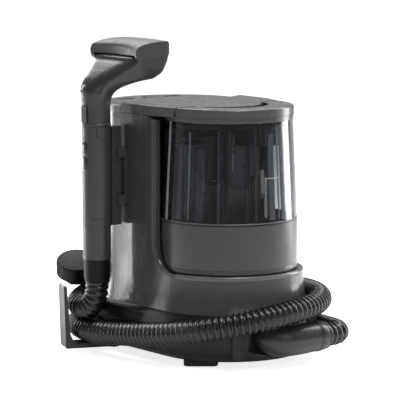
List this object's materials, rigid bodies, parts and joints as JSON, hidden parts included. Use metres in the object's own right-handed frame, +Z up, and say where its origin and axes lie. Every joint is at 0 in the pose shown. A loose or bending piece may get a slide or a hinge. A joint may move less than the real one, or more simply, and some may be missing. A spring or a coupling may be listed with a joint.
{
  "type": "portable spot and upholstery cleaner",
  "caption": "Portable upholstery cleaner with a smoke-clear front water tank, fold-down carry handle, docked spray wand with a flat nozzle, and a ribbed suction hose wound round the base.",
  "frame": {"origin": "bottom centre of the machine without its hose, on the floor", "axes": "+Z up, -Y the front with the clear tank, -X the side with the wand"},
  "size_m": [0.2924, 0.3748, 0.3904],
  "materials": {
    "body_graphite": "satin moulded graphite plastic",
    "base_black": "matt black moulded plastic",
    "rubber_black": "matt rubber",
    "hose_black": "glossy ribbed flexible hose",
    "button_black": "glossy black plastic",
    "mouth_grey": "satin grey plastic",
    "window_smoke": "smoke tinted clear plastic",
    "window_clear": "clear plastic",
    "inner_plastic": "satin grey plastic",
    "tube_aluminium": "drawn tube",
    "float_white": "matt white plastic",
    "steel": "turned and pressed steel",
    "board_green": "lacquered board"
  },
  "bodies": {
    "machine": {"base_pan": "base_black", "rubber_feet": "rubber_black", "main_housing": "body_graphite", "rear_cover": "body_graphite", "vent_filter": "inner_plastic", "rear_deck": "body_graphite", "deck_grilles": "base_black", "switch_block": "inner_plastic", "cord_gland": "rubber_black", "housing_screws": "steel", "hose_rack": "body_graphite", "hook_bracket": "body_graphite", "wand_dock": "body_graphite", "hose_elbow": "base_black", "elbow_collar": "base_black", "motor_case": "steel", "motor_stator": "steel", "motor_bearings": "steel", "fan_housing": "inner_plastic", "suction_duct": "inner_plastic", "water_pump": "inner_plastic", "check_valve": "inner_plastic", "control_board": "board_green", "hose": "hose_black"},
    "rotor": {"motor_shaft": "steel", "motor_rotor": "steel", "impeller": "inner_plastic"},
    "power": {"power_button": "button_black"},
    "cord_hook": {"cord_hook_cap": "base_black"},
    "tank": {"tank_skirt": "body_graphite", "tank_window": "window_smoke", "tank_lid": "body_graphite", "lid_seal": "rubber_black", "handle_pins": "steel", "tank_divider": "inner_plastic", "standpipe": "inner_plastic", "air_separator": "inner_plastic", "float_guide": "inner_plastic", "valve_guide": "inner_plastic"},
    "handle": {"carry_handle": "body_graphite"},
    "float": {"tank_float": "float_white"},
    "valve": {"tank_valve": "rubber_black"},
    "wand": {"wand_tube": "tube_aluminium", "grip_shell": "body_graphite", "grip_cover": "body_graphite"},
    "spray": {"spray_button": "button_black"},
    "lock": {"lock_button": "button_black"},
    "cuff": {"hose_cuff": "base_black"},
    "nozzle": {"nozzle_body": "body_graphite", "spray_jet": "inner_plastic", "nozzle_gasket": "base_black", "nozzle_window": "window_clear", "nozzle_mouth": "mouth_grey"},
    "latch": {"nozzle_latch": "base_black"}
  },
  "joints": [
    {"name": "motor_spin", "type": "hinge", "parent": "machine", "child": "rotor", "pos_m": [0.02783, 0.09223, 0.18], "axis": [0, 0, 1], "continuous": true},
    {"name": "power_press", "type": "slide", "parent": "machine", "child": "power", "axis": [0, 0, -1], "range_m": [0, 0.002], "stiffness_N_per_m": 300},
    {"name": "hook_swivel", "type": "hinge", "parent": "machine", "child": "cord_hook", "pos_m": [-0.06434, 0.15164, 0.08778], "axis": [-0.254, -0.3375, 0.9064], "continuous": true},
    {"name": "tank_slide", "type": "slide", "parent": "machine", "child": "tank", "axis": [0, -1, 0], "range_m": [0, 0.18]},
    {"name": "handle_hinge", "type": "hinge", "parent": "tank", "child": "handle", "pos_m": [0.02783, -0.04827, 0.307], "axis": [-1, 0, 0], "range_deg": [0, 90]},
    {"name": "float_rise", "type": "slide", "parent": "tank", "child": "float", "axis": [0, 0, 1], "range_m": [-0.07, 0.038]},
    {"name": "valve_press", "type": "slide", "parent": "tank", "child": "valve", "axis": [0, -1, 0], "range_m": [0, 0.003], "stiffness_N_per_m": 300},
    {"name": "wand_release", "type": "slide", "parent": "machine", "child": "wand", "axis": [-1, 0, 0], "range_m": [0, 0.045]},
    {"name": "cuff_swivel", "type": "hinge", "parent": "wand", "child": "cuff", "pos_m": [-0.10117, 0.05223, 0.11], "axis": [0, 0, 1], "continuous": true},
    {"name": "spray_press", "type": "slide", "parent": "wand", "child": "spray", "axis": [1, 0, 0], "range_m": [0, 0.0012], "stiffness_N_per_m": 500},
    {"name": "lock_press", "type": "slide", "parent": "wand", "child": "lock", "axis": [1, 0, 0], "range_m": [0, 0.0012], "stiffness_N_per_m": 500},
    {"name": "nozzle_pull", "type": "slide", "parent": "wand", "child": "nozzle", "axis": [0, 0, 1], "range_m": [0, 0.06]},
    {"name": "latch_press", "type": "hinge", "parent": "nozzle", "child": "latch", "pos_m": [-0.11817, 0.05223, 0.3005], "axis": [0, 1, 0], "range_deg": [0, 4], "stiffness_Nm_per_rad": 0.5}
  ]
}
